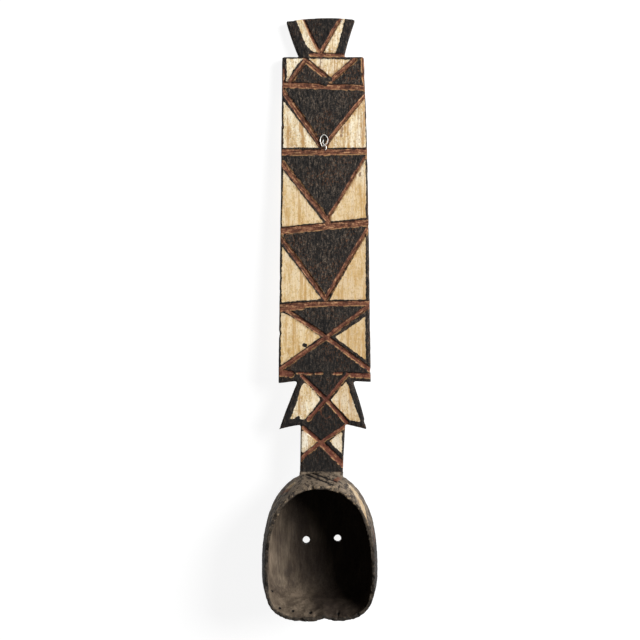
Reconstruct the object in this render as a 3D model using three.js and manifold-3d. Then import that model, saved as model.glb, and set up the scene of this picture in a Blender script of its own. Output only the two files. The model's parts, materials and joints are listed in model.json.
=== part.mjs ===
import * as THREE from 'three';
import { mergeVertices } from 'three/addons/utils/BufferGeometryUtils.js';
import Module from 'manifold-3d';

// Bwa plank mask: a hollow wooden head with a neck, a flared collar, a tall plank and a crest,
// all carved from one piece of wood, with a nail and a bent wire on the plank's back to hang it by.
// Sizes are in millimetres. The carving frame has X across, Y from the chin to the crest and
// Z out of the hollow, towards the wearer. The plank's back is the plane Z = 0, and Y = 0 is where
// the head is widest. The finished mask lies face down, on its mouth and the crest's far edge.

const wasm = await Module();
wasm.setup();

// Driving dimensions of the board.
const PLANK_THICKNESS = 21;
const PLANK_LENGTH = 706;
const PLANK_TOP_WIDTH = 179;
const PLANK_FOOT_WIDTH = 202;
const PLANK_FOOT_SAG = 5;
const PLANK_FOOT_SAG_RIGHT = 2;
const PLANK_CORNER = 5;
const PLANK_SIDE_BELLY = 6;
const BELLY_PLACE = 0.75;
const CREST_HEIGHT = 85;
const CREST_FOOT_WIDTH = 100;
const CREST_TOP_WIDTH = 151;
const CREST_ARCH = 8;
const CREST_PEAK = 0.3;
const FLARE_LENGTH = 105;
const FLARE_TOP_WIDTH = 121;
const FLARE_FOOT_WIDTH = 191;
const FLARE_HOOK = 10;
const NECK_LENGTH = 91;
const NECK_TOP_WIDTH = 98;
const NECK_FOOT_WIDTH = 93;
const NECK_ROOT = 39;
const EDGE_ROUNDING = 2;
const OUTLINE_STEPS = 6;

// How far across and along each bent side of the board its bend pulls, as shares.
const BENDS = {
  rightHook: [0.5, 0.35],
  rightFlare: [0.35, 0.5],
  rightCorner: [0, 1],
  rightCrest: [0.4, 0.52],
  leftCrest: [0.38, 0.5],
  leftCorner: [1, 0],
  leftFlare: [0.58, 0.5],
  leftHook: [0.5, 0.65],
};

// The carver's eye wandered: how far each level of the board stands right of the head's middle.
const SHIFT = {
  neckFoot: 2.3,
  neckTop: 7.6,
  flareFoot: 7.1,
  flareTop: 12.3,
  plankFoot: 10.8,
  plankTop: 7.3,
  crestFoot: 3.9,
  crestTop: 2.1,
};

// Driving dimensions of the head. The rises are measured from its widest level, up and down.
const HEAD_WIDTH = 251;
const HEAD_RISE = 201;
const HEAD_DROP = 88;
const FACE_DEPTH = 66;
const RIM_HEIGHT = 65;
const RIM_WIDTH = 235;
const RIM_RISE = 177;
const RIM_DROP = 112;
const RIM_WALL = 6.5;
const RIM_THINNING = 4;
const HEAD_WALL = 13;
const WALL_LEAN_POWER = 1.5;
const BROW_POWER = 2.3;
const JAW_POWER = 3.6;
const FACE_POWER = 2.4;
const FACE_SLANT = 0.1;
const HEAD_FACETS = 64;
const WALL_RINGS = 5;
const FACE_RINGS = 7;
const HOLLOW_FACE_RINGS = 6;
const HOLLOW_OVERSHOOT = 1.1;
const CHIN_NOTCH = 7;
const CHIN_NOTCH_ANGLE = -85;
const CHIN_NOTCH_SPREAD = 7;

// Eyes, nose and mouth.
const EYE_SPACING = 70;
const EYE_LEVEL = 47;
const LEFT_EYE_DROP = 4.5;
const EYE_SHIFT = 5;
const EYE_HOLE = 16.5;
const EYE_DISC = 66;
const EYE_DISC_RELIEF = 9;
const EYE_DISC_FACETS = 28;
const EYE_RING_DEPTH = 5;
const EYE_RING_INNER = 20;
const EYE_RING_OUTER = 23;
const EYE_RING_SLOPE = 3;
const NOSE_WIDTH = 15;
const NOSE_LENGTH = 82;
const NOSE_TIP_LEVEL = 6;
const NOSE_RELIEF = 16;
const NOSE_TIP_RELIEF = 13;
const NOSE_TIP_RISE = 6.5;
const NOSE_BRIDGE_RELIEF = 5.6;
const NOSE_BRIDGE_LEVEL = 72;
const MOUTH_LEVEL = -42;
const MOUTH_WIDTH = 112;
const MOUTH_HEIGHT = 70;
const MOUTH_TAPER = 0.6;
const MOUTH_RELIEF = 25;
const MOUTH_LIP = 12;
const MOUTH_RECESS = 14;
const MOUTH_ROOT = 23;

// Carved bands, lacing holes and the hanging wire.
const BAND_WIDTH = 10;
const LINE_WIDTH = 8.5;
const GROOVE_DEPTH = 1.6;
const PAST_EDGE = 1.1;
const LACING_HOLE = 4.6;
const LACING_SHARE = 0.85;
const LACING_JAW_SHARE = 0.72;
const LACING_LEAN = 40;
const LACING_BORE = 42;
const LACING_FACETS = 7;
const JAW_FROM = -0.5;
const EYE_HOLE_FACETS = 20;
const BORE_FACETS = 12;
const LACING_ANGLES = [25, 53, 76, 96, 114, 142, 164, 191, 209, 228, 240, 259, 290, 307, 318, 349];
const PEG_HOLE = 5;
const PEG_HOLE_DEPTH = 7;
const PEG_HOLE_ACROSS = -0.435;
const PEG_HOLE_ALONG = 0.112;
const FIT_GAP = 0.3;
const NAIL_SHANK = 3;
const NAIL_HEAD = 6.4;
const NAIL_HEAD_HEIGHT = 1.4;
const NAIL_CROWN = 4.6;
const NAIL_STANDOFF = 4.6;
const NAIL_BITE = 14;
const NAIL_ACROSS = 0.01;
const NAIL_ALONG = 0.719;
const WIRE = 2;
const WIRE_EYE = 10.4;
const WIRE_LOOP_WIDTH = 16.5;
const WIRE_LOOP_HEIGHT = 21;
const WIRE_TAIL = 7;
const WIRE_EYE_GAP = 2.2;
const WIRE_STEPS = 54;
const WIRE_FACETS = 4;

// The wire's course: turns of the eye in degrees, then places on the loop as shares of its half
// width, of its height and of the way up from the lower lie of the wire to the upper one.
const WIRE_EYE_TURNS = [-62, -35, 0, 35, 70, 105, 140];
const WIRE_LOOP_COURSE = [
  [-0.8, 0.08, 0],
  [-1, 0.4, 0],
  [-0.86, 0.72, 0],
  [0, 1, 0.3],
  [0.9, 0.68, 0.5],
  [1, 0.36, 0.7],
  [0.66, 0.05, 1],
  [0, -0.02, 1],
  [-0.3, 0.14, 1],
];
const WIRE_TAIL_ACROSS = -0.16;

// Levels of the board, from the head up.
const neckFootY = HEAD_RISE;
const flareFootY = neckFootY + NECK_LENGTH;
const plankFootY = flareFootY + FLARE_LENGTH;
const plankTopY = plankFootY + PLANK_LENGTH;
const crestTopY = plankTopY + CREST_HEIGHT;

const degrees = THREE.MathUtils.degToRad;
const mix = THREE.MathUtils.lerp;

// Joining and cutting of closed solids.
function solid(geometry) {
  const bare = geometry.clone();
  bare.deleteAttribute('normal');
  bare.deleteAttribute('uv');
  const merged = mergeVertices(bare, 1e-4);
  return new wasm.Manifold(new wasm.Mesh({
    numProp: 3,
    vertProperties: new Float32Array(merged.attributes.position.array),
    triVerts: new Uint32Array(merged.index.array),
  }));
}

function toGeometry(body) {
  const mesh = body.getMesh();
  const geometry = new THREE.BufferGeometry();
  geometry.setAttribute('position', new THREE.BufferAttribute(mesh.vertProperties, 3));
  geometry.setIndex(new THREE.BufferAttribute(mesh.triVerts, 1));
  geometry.computeVertexNormals();
  return geometry;
}

// A bent side from the outline's last point. The pull of the bend stands a share of the way across
// and a share of the way along.
function bendTo(outline, [across, along], x, y) {
  const from = outline.currentPoint;
  outline.quadraticCurveTo(mix(from.x, x, across), mix(from.y, y, along), x, y);
}

// The board's outline: neck, flared collar, plank and crest in one run, from the neck's left foot.
function boardOutline() {
  const outline = new THREE.Shape();
  const left = (shift, width) => shift - width / 2;
  const right = (shift, width) => shift + width / 2;
  const neckRootY = neckFootY - NECK_ROOT;
  const hookY = flareFootY + FLARE_HOOK;
  outline.moveTo(left(SHIFT.neckFoot, NECK_FOOT_WIDTH), neckRootY);
  outline.lineTo(right(SHIFT.neckFoot, NECK_FOOT_WIDTH), neckRootY);
  outline.lineTo(right(SHIFT.neckTop, NECK_TOP_WIDTH), hookY);
  bendTo(outline, BENDS.rightHook, right(SHIFT.flareFoot, FLARE_FOOT_WIDTH), flareFootY);
  bendTo(outline, BENDS.rightFlare, right(SHIFT.flareTop, FLARE_TOP_WIDTH), plankFootY);

  const plankFootRight = right(SHIFT.plankFoot, PLANK_FOOT_WIDTH);
  const plankTopRight = right(SHIFT.plankTop, PLANK_TOP_WIDTH);
  const bellyX = mix(plankFootRight, plankTopRight, BELLY_PLACE) + PLANK_SIDE_BELLY;
  const bellyY = mix(plankFootY, plankTopY, BELLY_PLACE);
  outline.lineTo(plankFootRight, plankFootY - PLANK_FOOT_SAG_RIGHT);
  outline.quadraticCurveTo(bellyX, bellyY, plankTopRight, plankTopY - PLANK_CORNER);
  bendTo(outline, BENDS.rightCorner, plankTopRight - PLANK_CORNER, plankTopY);

  const crestRight = right(SHIFT.crestTop, CREST_TOP_WIDTH);
  const crestLeft = left(SHIFT.crestTop, CREST_TOP_WIDTH);
  outline.lineTo(right(SHIFT.crestFoot, CREST_FOOT_WIDTH), plankTopY);
  bendTo(outline, BENDS.rightCrest, crestRight, crestTopY - CREST_ARCH / 2);
  outline.bezierCurveTo(
    mix(crestRight, crestLeft, CREST_PEAK), crestTopY + CREST_ARCH * CREST_PEAK,
    mix(crestLeft, crestRight, CREST_PEAK), crestTopY,
    crestLeft, crestTopY - CREST_ARCH);
  bendTo(outline, BENDS.leftCrest, left(SHIFT.crestFoot, CREST_FOOT_WIDTH), plankTopY);

  const plankTopLeft = left(SHIFT.plankTop, PLANK_TOP_WIDTH);
  outline.lineTo(plankTopLeft + PLANK_CORNER, plankTopY);
  bendTo(outline, BENDS.leftCorner, plankTopLeft, plankTopY - PLANK_CORNER);
  outline.lineTo(left(SHIFT.plankFoot, PLANK_FOOT_WIDTH), plankFootY - PLANK_FOOT_SAG);
  outline.lineTo(left(SHIFT.flareTop, FLARE_TOP_WIDTH), plankFootY);
  bendTo(outline, BENDS.leftFlare, left(SHIFT.flareFoot, FLARE_FOOT_WIDTH), flareFootY);
  bendTo(outline, BENDS.leftHook, left(SHIFT.neckTop, NECK_TOP_WIDTH), hookY);
  outline.closePath();
  return outline;
}

function board() {
  const geometry = new THREE.ExtrudeGeometry(boardOutline(), {
    depth: PLANK_THICKNESS - 2 * EDGE_ROUNDING,
    curveSegments: OUTLINE_STEPS,
    bevelEnabled: true,
    bevelThickness: EDGE_ROUNDING,
    bevelSize: EDGE_ROUNDING,
    bevelOffset: -EDGE_ROUNDING,
    bevelSegments: 1,
  });
  geometry.translate(0, 0, EDGE_ROUNDING - PLANK_THICKNESS);
  return solid(geometry);
}

// The head's outline at one level: a rounded brow over a squarer jaw.
// The angle runs from the wearer's left side, over the brow, and the radius is measured from Y = 0.
function headRadius(angle, halfWidth, rise, drop) {
  const brow = Math.sin(angle) > 0;
  const power = brow ? BROW_POWER : JAW_POWER;
  const reach = brow ? rise : drop;
  const across = Math.abs(Math.cos(angle)) / halfWidth;
  const along = Math.abs(Math.sin(angle)) / reach;
  return (across ** power + along ** power) ** (-1 / power);
}

function chinNotch(angle) {
  const away = Math.atan2(
    Math.sin(angle - degrees(CHIN_NOTCH_ANGLE)), Math.cos(angle - degrees(CHIN_NOTCH_ANGLE)));
  return CHIN_NOTCH * Math.exp(-((away / degrees(CHIN_NOTCH_SPREAD)) ** 2));
}

// A point of the head's wall above the board's plane, at a share of the way up to the rim.
function wallPoint(angle, share, inset) {
  const eased = Math.max(share, 0) ** WALL_LEAN_POWER;
  const radius = headRadius(
    angle,
    mix(HEAD_WIDTH, RIM_WIDTH, eased) / 2,
    mix(HEAD_RISE, RIM_RISE, eased),
    mix(HEAD_DROP, RIM_DROP, share));
  const reach = radius - chinNotch(angle) * share - inset;
  return new THREE.Vector3(reach * Math.cos(angle), reach * Math.sin(angle), RIM_HEIGHT * share);
}

// A point of the face below the board's plane. The quarter turn runs from the plane to the middle
// of the face.
function facePoint(angle, quarter, inset) {
  const closing = Math.max(Math.cos(quarter), 0) ** (2 / FACE_POWER);
  const sinking = Math.sin(quarter) ** (2 / FACE_POWER);
  const reach = closing * (headRadius(angle, HEAD_WIDTH / 2, HEAD_RISE, HEAD_DROP) - inset);
  const along = reach * Math.sin(angle);
  return new THREE.Vector3(
    reach * Math.cos(angle), along, -sinking * (FACE_DEPTH - inset + FACE_SLANT * along));
}

// A closed lathe form whose rings are then moved to the head's outline, ring by ring.
function headForm(faceRings, insetAt, topShare) {
  const levels = WALL_RINGS + faceRings;
  const profile = [new THREE.Vector2(0, 0)];
  for (let ring = 1; ring <= levels; ring++) {
    profile.push(new THREE.Vector2(1, ring));
  }
  profile.push(new THREE.Vector2(0, levels + 1));
  const geometry = new THREE.LatheGeometry(profile, HEAD_FACETS);
  geometry.rotateX(Math.PI / 2);
  const position = geometry.attributes.position;
  const point = new THREE.Vector3();
  for (let index = 0; index < position.count; index++) {
    point.fromBufferAttribute(position, index);
    const level = Math.round(point.z);
    const angle = Math.atan2(point.y, point.x);
    let placed;
    if (level === 0) {
      placed = new THREE.Vector3(0, 0, facePoint(0, Math.PI / 2, insetAt(0)).z);
    } else if (level > levels) {
      placed = new THREE.Vector3(0, 0, RIM_HEIGHT * topShare);
    } else if (level <= faceRings) {
      placed = facePoint(angle, (Math.PI / 2) * (1 - level / faceRings), insetAt(0));
    } else {
      const share = topShare * (level - faceRings) / WALL_RINGS;
      placed = wallPoint(angle, share, insetAt(share));
    }
    position.setXYZ(index, placed.x, placed.y, placed.z);
  }
  return solid(geometry);
}

function headBlock() {
  return headForm(FACE_RINGS, () => 0, 1);
}

function wallAt(share) {
  return mix(HEAD_WALL, RIM_WALL, Math.min(share, 1) ** RIM_THINNING);
}

function headHollow() {
  return headForm(HOLLOW_FACE_RINGS, wallAt, HOLLOW_OVERSHOOT);
}

// A panel of the board: a place on it is a share of its half width and a share of its height.
const panels = {
  neck: {
    foot: neckFootY, top: flareFootY, footShift: SHIFT.neckFoot, topShift: SHIFT.neckTop,
    footWidth: NECK_FOOT_WIDTH, topWidth: NECK_TOP_WIDTH,
  },
  flare: {
    foot: flareFootY, top: plankFootY, footShift: SHIFT.flareFoot, topShift: SHIFT.flareTop,
    footWidth: FLARE_FOOT_WIDTH, topWidth: FLARE_TOP_WIDTH,
  },
  plank: {
    foot: plankFootY, top: plankTopY, footShift: SHIFT.plankFoot, topShift: SHIFT.plankTop,
    footWidth: PLANK_FOOT_WIDTH, topWidth: PLANK_TOP_WIDTH,
  },
  crest: {
    foot: plankTopY, top: crestTopY, footShift: SHIFT.crestFoot, topShift: SHIFT.crestTop,
    footWidth: CREST_FOOT_WIDTH, topWidth: CREST_TOP_WIDTH,
  },
};

function panelPoint(panel, across, along) {
  const { foot, top, footShift, topShift, footWidth, topWidth } = panels[panel];
  const x = mix(footShift, topShift, along) + across * mix(footWidth, topWidth, along) / 2;
  return new THREE.Vector2(x, mix(foot, top, along));
}

// The carved lines of the board's back, each through its turning points on one panel.
// Level bands part the plank into rows, and lines in a V, a caret or a cross cut each row in triangles.
const backBands = [
  { left: 0.913, right: 0.904 },
  { left: 0.706, right: 0.709 },
  { left: 0.463, right: 0.491 },
  { left: 0.227, right: 0.241 },
  { left: 0.028, right: 0.018 },
];
const backLines = [
  { panel: 'plank', through: [[-0.78, 0.928], [-0.42, 0.995], [0.19, 0.926], [0.76, 0.994]] },
  { panel: 'plank', through: [[-1, 0.892], [0.04, 0.724], [1, 0.882]] },
  { panel: 'plank', through: [[-1, 0.669], [0.1, 0.49], [1, 0.689]] },
  { panel: 'plank', through: [[-1, 0.44], [0.03, 0.255], [1, 0.469]] },
  { panel: 'plank', through: [[-0.8, 0.217], [0.045, 0.137], [0.97, 0.037]] },
  { panel: 'plank', through: [[0.97, 0.231], [0.045, 0.137], [-0.97, 0.037]] },
  { panel: 'crest', through: [[-0.51, 0.94], [-0.03, 0.09], [0.17, 0.33], [0.58, 0.953]] },
  { panel: 'crest', through: [[-0.94, 0], [0.94, 0.01]] },
  { panel: 'flare', through: [[-0.9, 1.06], [0.06, 0.625], [0.56, 0.155]] },
  { panel: 'flare', through: [[0.86, 1.08], [0.06, 0.625], [-0.37, 0.215]] },
  { panel: 'neck', through: [[1, 1.06], [-0.05, 0.7], [-1, 0.27]] },
  { panel: 'neck', through: [[-0.75, 1.02], [-0.05, 0.7], [1, 0.14]] },
];

// The far side repeats the rows more plainly, with straight bands and even triangles.
const frontBands = backBands.map(({ left, right }) => (left + right) / 2);
const frontRows = [
  { panel: 'plank', foot: frontBands[1], top: frontBands[0] },
  { panel: 'plank', foot: frontBands[2], top: frontBands[1] },
  { panel: 'plank', foot: frontBands[3], top: frontBands[2] },
];
const frontCross = { foot: frontBands[4], top: frontBands[3] };

// A groove between two points of one face of the board, cut past its ends by half its width.
function groove(from, to, width, faceZ) {
  const run = new THREE.Vector2().subVectors(to, from);
  const geometry = new THREE.BoxGeometry(run.length() + width, width, 2 * GROOVE_DEPTH);
  geometry.rotateZ(run.angle());
  geometry.translate((from.x + to.x) / 2, (from.y + to.y) / 2, faceZ);
  return solid(geometry);
}

function groovesThrough(panel, through, width, faceZ) {
  const cuts = [];
  for (let index = 1; index < through.length; index++) {
    const from = panelPoint(panel, ...through[index - 1]);
    const to = panelPoint(panel, ...through[index]);
    cuts.push(groove(from, to, width, faceZ));
  }
  return cuts;
}

function backGrooves() {
  const cuts = backLines.flatMap(({ panel, through }) => groovesThrough(panel, through, LINE_WIDTH, 0));
  for (const { left, right } of backBands) {
    cuts.push(...groovesThrough('plank', [[-PAST_EDGE, left], [PAST_EDGE, right]], BAND_WIDTH, 0));
  }
  return cuts;
}

function frontGrooves() {
  const faceZ = -PLANK_THICKNESS;
  const cuts = frontBands.flatMap(
    (level) => groovesThrough('plank', [[-PAST_EDGE, level], [PAST_EDGE, level]], BAND_WIDTH, faceZ));
  for (const { panel, foot, top } of frontRows) {
    cuts.push(...groovesThrough(panel, [[-1, top], [0, foot], [1, top]], LINE_WIDTH, faceZ));
  }
  const { foot, top } = frontCross;
  cuts.push(...groovesThrough('plank', [[-1, foot], [1, top]], LINE_WIDTH, faceZ));
  cuts.push(...groovesThrough('plank', [[-1, top], [1, foot]], LINE_WIDTH, faceZ));
  cuts.push(...groovesThrough('crest', [[-0.6, 1], [0, 0.1], [0.6, 1]], LINE_WIDTH, faceZ));
  cuts.push(...groovesThrough('flare', [[-0.7, 1], [0, 0.5], [0.7, 1]], LINE_WIDTH, faceZ));
  cuts.push(...groovesThrough('flare', [[-0.6, 0.1], [0, 0.5], [0.6, 0.1]], LINE_WIDTH, faceZ));
  return cuts;
}

// Round holes: through the eyes, through the rim for the lacing, and into the board's back.
function eyeCentres() {
  return [
    new THREE.Vector2(EYE_SHIFT - EYE_SPACING / 2, EYE_LEVEL - LEFT_EYE_DROP),
    new THREE.Vector2(EYE_SHIFT + EYE_SPACING / 2, EYE_LEVEL),
  ];
}

function eyeHoles() {
  return eyeCentres().map(({ x, y }) => {
    const length = 3 * FACE_DEPTH;
    const geometry = new THREE.CylinderGeometry(EYE_HOLE / 2, EYE_HOLE / 2, length, EYE_HOLE_FACETS);
    geometry.rotateX(Math.PI / 2);
    geometry.translate(x, y, -length / 2);
    return solid(geometry);
  });
}

function lacingHoles() {
  return LACING_ANGLES.map((turn) => {
    const angle = degrees(turn);
    const lean = degrees(LACING_LEAN);
    const share = Math.sin(angle) < JAW_FROM ? LACING_JAW_SHARE : LACING_SHARE;
    const centre = wallPoint(angle, share, wallAt(share) / 2);
    const outward = new THREE.Vector3(
      Math.cos(angle) * Math.cos(lean), Math.sin(angle) * Math.cos(lean), -Math.sin(lean));
    const radius = LACING_HOLE / 2;
    const geometry = new THREE.CylinderGeometry(radius, radius, LACING_BORE, LACING_FACETS);
    const upright = new THREE.Vector3(0, 1, 0);
    geometry.applyQuaternion(new THREE.Quaternion().setFromUnitVectors(upright, outward));
    geometry.translate(centre.x, centre.y, centre.z);
    return solid(geometry);
  });
}

function backHole(across, along, diameter, depth) {
  const place = panelPoint('plank', across, along);
  const geometry = new THREE.CylinderGeometry(diameter / 2, diameter / 2, 2 * depth, BORE_FACETS);
  geometry.rotateX(Math.PI / 2);
  geometry.translate(place.x, place.y, 0);
  return solid(geometry);
}

// The face: ringed discs round the eyes, a narrow nose and a lozenge mouth.
function eyeDiscs() {
  const outer = EYE_DISC / 2;
  const top = EYE_DISC_RELIEF;
  const root = -HEAD_WALL / 2;
  const valley = top - EYE_RING_DEPTH;
  const profile = [
    [0, root], [outer, root], [outer, top - EYE_RING_SLOPE], [outer - EDGE_ROUNDING, top],
    [EYE_RING_OUTER + EYE_RING_SLOPE, top], [EYE_RING_OUTER, valley],
    [EYE_RING_INNER, valley], [EYE_RING_INNER - EYE_RING_SLOPE, top], [0, top],
  ].map(([radius, height]) => new THREE.Vector2(radius, height));
  return eyeCentres().map(({ x, y }) => {
    const geometry = new THREE.LatheGeometry(profile, EYE_DISC_FACETS);
    geometry.rotateX(-Math.PI / 2);
    geometry.translate(x, y, -FACE_DEPTH);
    return solid(geometry);
  });
}

function nose() {
  const side = new THREE.Shape();
  side.moveTo(NOSE_TIP_LEVEL, -FACE_DEPTH + HEAD_WALL / 2);
  side.lineTo(NOSE_TIP_LEVEL, -FACE_DEPTH - NOSE_TIP_RELIEF);
  side.lineTo(NOSE_TIP_LEVEL + NOSE_TIP_RISE, -FACE_DEPTH - NOSE_RELIEF);
  side.lineTo(NOSE_BRIDGE_LEVEL, -FACE_DEPTH - NOSE_BRIDGE_RELIEF);
  side.lineTo(NOSE_TIP_LEVEL + NOSE_LENGTH, -FACE_DEPTH + HEAD_WALL / 2);
  side.closePath();
  const geometry = new THREE.ExtrudeGeometry(side, {
    depth: NOSE_WIDTH - 2 * EDGE_ROUNDING,
    bevelEnabled: true,
    bevelThickness: EDGE_ROUNDING,
    bevelSize: EDGE_ROUNDING,
    bevelOffset: -EDGE_ROUNDING,
    bevelSegments: 1,
  });
  const upright = new THREE.Matrix4().makeBasis(
    new THREE.Vector3(0, 1, 0), new THREE.Vector3(0, 0, 1), new THREE.Vector3(1, 0, 0));
  geometry.applyMatrix4(upright);
  geometry.translate(EYE_SHIFT - NOSE_WIDTH / 2 + EDGE_ROUNDING, 0, 0);
  return solid(geometry);
}

function lozenge(width, height, fromZ, toZ, taper) {
  const geometry = new THREE.CylinderGeometry(width / 2, taper * width / 2, fromZ - toZ, 4);
  geometry.rotateX(Math.PI / 2);
  geometry.scale(1, height / width, 1);
  geometry.translate(EYE_SHIFT, MOUTH_LEVEL, (fromZ + toZ) / 2);
  return solid(geometry);
}

// The floor that the mask lies on, as a line in the carving frame from the mouth to the crest.
const boardBody = board();
const restingCrestY = boardBody.boundingBox().max[1] - EDGE_ROUNDING;
const mouthTipZ = -FACE_DEPTH - MOUTH_RELIEF;
const lyingAngle = Math.atan2(-PLANK_THICKNESS - mouthTipZ, restingCrestY - MOUTH_LEVEL);

function belowFloor() {
  const side = 3 * HEAD_WIDTH;
  const geometry = new THREE.BoxGeometry(side, side, side);
  geometry.translate(0, 0, -side / 2);
  geometry.rotateX(lyingAngle);
  geometry.translate(0, MOUTH_LEVEL, mouthTipZ);
  return solid(geometry);
}

function mouth() {
  const block = lozenge(MOUTH_WIDTH, MOUTH_HEIGHT, -MOUTH_ROOT, mouthTipZ - HEAD_WALL, MOUTH_TAPER);
  const slotWidth = MOUTH_WIDTH * MOUTH_TAPER - 2 * MOUTH_LIP;
  const slotHeight = slotWidth * MOUTH_HEIGHT / MOUTH_WIDTH;
  const slot = lozenge(slotWidth, slotHeight, mouthTipZ + MOUTH_RECESS, mouthTipZ - 2 * HEAD_WALL, 1);
  return block.subtract(slot).subtract(belowFloor());
}

function maskBody() {
  const joined = wasm.Manifold.union([headBlock(), boardBody, ...eyeDiscs(), nose(), mouth()]);
  const nailBore = backHole(NAIL_ACROSS, NAIL_ALONG, NAIL_SHANK + 2 * FIT_GAP, NAIL_BITE + FIT_GAP);
  const cuts = [
    headHollow(), ...eyeHoles(), ...lacingHoles(), ...backGrooves(), ...frontGrooves(),
    backHole(PEG_HOLE_ACROSS, PEG_HOLE_ALONG, PEG_HOLE, PEG_HOLE_DEPTH), nailBore,
  ];
  return joined.subtract(wasm.Manifold.union(cuts));
}

// The nail in the plank's back.
function nailGeometry() {
  const profile = [
    [0, -NAIL_BITE], [NAIL_SHANK / 4, -NAIL_BITE + NAIL_SHANK],
    [NAIL_SHANK / 2, -NAIL_BITE + 2 * NAIL_SHANK],
    [NAIL_SHANK / 2, NAIL_STANDOFF], [NAIL_HEAD / 2, NAIL_STANDOFF],
    [NAIL_HEAD / 2, NAIL_STANDOFF + NAIL_HEAD_HEIGHT / 2],
    [NAIL_CROWN / 2, NAIL_STANDOFF + NAIL_HEAD_HEIGHT], [0, NAIL_STANDOFF + NAIL_HEAD_HEIGHT],
  ].map(([radius, height]) => new THREE.Vector2(radius, height));
  const geometry = new THREE.LatheGeometry(profile, BORE_FACETS);
  geometry.rotateX(Math.PI / 2);
  return geometry;
}

// The wire: an open eye round the nail, then a larger loop above it whose end turns up inside.
function wireGeometry() {
  const eye = WIRE_EYE / 2;
  const loopFoot = eye + WIRE_EYE_GAP;
  const halfWidth = WIRE_LOOP_WIDTH / 2;
  const low = WIRE / 2 + FIT_GAP;
  const high = low + WIRE + FIT_GAP;
  const points = [];
  for (const turn of WIRE_EYE_TURNS) {
    points.push(new THREE.Vector3(eye * Math.cos(degrees(turn)), eye * Math.sin(degrees(turn)), low));
  }
  for (const [across, along, lift] of WIRE_LOOP_COURSE) {
    const y = loopFoot + along * WIRE_LOOP_HEIGHT;
    points.push(new THREE.Vector3(across * halfWidth, y, mix(low, high, lift)));
  }
  const tailY = points[points.length - 1].y + WIRE_TAIL;
  points.push(new THREE.Vector3(WIRE_TAIL_ACROSS * halfWidth, tailY, high));
  const section = new THREE.Shape();
  section.absarc(0, 0, WIRE / 2, 0, 2 * Math.PI);
  return new THREE.ExtrudeGeometry(section, {
    steps: WIRE_STEPS,
    curveSegments: WIRE_FACETS,
    bevelEnabled: false,
    extrudePath: new THREE.CatmullRomCurve3(points),
  });
}

function piece(name, geometry, material) {
  const mesh = new THREE.Mesh(geometry, material);
  mesh.name = name;
  return mesh;
}

const wood = new THREE.MeshStandardMaterial({ color: 0x3a332c, roughness: 0.85, metalness: 0 });
const wireSteel = new THREE.MeshStandardMaterial({ color: 0xb9b8b2, roughness: 0.4, metalness: 0.9 });
const nailIron = new THREE.MeshStandardMaterial({ color: 0x2c2522, roughness: 0.7, metalness: 0.6 });

const mask = piece('mask', toGeometry(maskBody()), wood);
const hangingWire = piece('hanging_wire', wireGeometry(), wireSteel);
const hangingNail = piece('hanging_nail', nailGeometry(), nailIron);
const nailPlace = panelPoint('plank', NAIL_ACROSS, NAIL_ALONG);
hangingWire.position.set(nailPlace.x, nailPlace.y, 0);
hangingNail.position.set(nailPlace.x, nailPlace.y, 0);

// The carving frame is turned until the mouth and the crest both touch the floor.
const carving = new THREE.Group();
carving.add(mask, hangingWire, hangingNail);
carving.rotation.x = -lyingAngle;

const bwaPlankMask = new THREE.Group();
bwaPlankMask.name = 'bwa_plank_mask';
bwaPlankMask.add(carving);

// The origin is the middle of the footprint, on the floor.
bwaPlankMask.updateMatrixWorld(true);
const extent = new THREE.Box3().setFromObject(bwaPlankMask, true);
const middle = extent.getCenter(new THREE.Vector3());
carving.position.set(-middle.x, -middle.y, -extent.min.z);

export default bwaPlankMask;
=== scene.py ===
import json
import math

import bpy
import numpy as np
from mathutils import Matrix, Vector, kdtree, noise


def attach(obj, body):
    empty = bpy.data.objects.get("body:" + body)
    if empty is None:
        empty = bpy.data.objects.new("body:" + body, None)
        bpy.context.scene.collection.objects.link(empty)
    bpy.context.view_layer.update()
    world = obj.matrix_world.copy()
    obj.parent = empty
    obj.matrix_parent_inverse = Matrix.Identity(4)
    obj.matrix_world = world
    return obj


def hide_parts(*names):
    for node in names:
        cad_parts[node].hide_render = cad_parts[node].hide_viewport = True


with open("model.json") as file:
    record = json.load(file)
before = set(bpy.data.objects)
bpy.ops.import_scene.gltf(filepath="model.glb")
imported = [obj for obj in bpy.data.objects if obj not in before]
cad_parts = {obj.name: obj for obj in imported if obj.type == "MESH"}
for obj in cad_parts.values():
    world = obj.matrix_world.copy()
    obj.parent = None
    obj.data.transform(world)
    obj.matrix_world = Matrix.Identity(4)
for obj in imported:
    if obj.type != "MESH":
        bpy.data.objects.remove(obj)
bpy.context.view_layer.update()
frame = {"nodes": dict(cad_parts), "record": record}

# The carving frame of the mask, in metres: X across, Y from the chin to the crest, Z out of the
# hollow. The plank's back is Z = 0 and the head is widest at Y = 0. The mask lies tilted, so this
# frame is turned about X, and the mount on the plank's back says where it is.
BACK_MOUNT = next(mount for mount in frame["record"]["mounts"] if mount["name"] == "plank_back")
MOUNT_X = 0.00863
MOUNT_Y = 0.83472
LYING_TURN = math.atan2(BACK_MOUNT["axis"][1], BACK_MOUNT["axis"][2])
CARVING = (
    Matrix.Translation(Vector(BACK_MOUNT["pos_m"]))
    @ Matrix.Rotation(-LYING_TURN, 4, "X")
    @ Matrix.Translation(Vector((-MOUNT_X, -MOUNT_Y, 0)))
)
INTO_CARVING = CARVING.inverted()

# Where the photograph was taken from, its scale on the plank's back, and how far it sees.
PIXELS_PER_METRE = 460
PIXEL = 1 / PIXELS_PER_METRE
PHOTO_SIZE = 640
HEAD_MIDDLE_COLUMN = 319.7
HEAD_WIDEST_ROW = 564
CAMERA_DISTANCE = 3.0
SENSOR_WIDTH = 0.036
SIGHT = 60
MILLIMETRES = 1000

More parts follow.
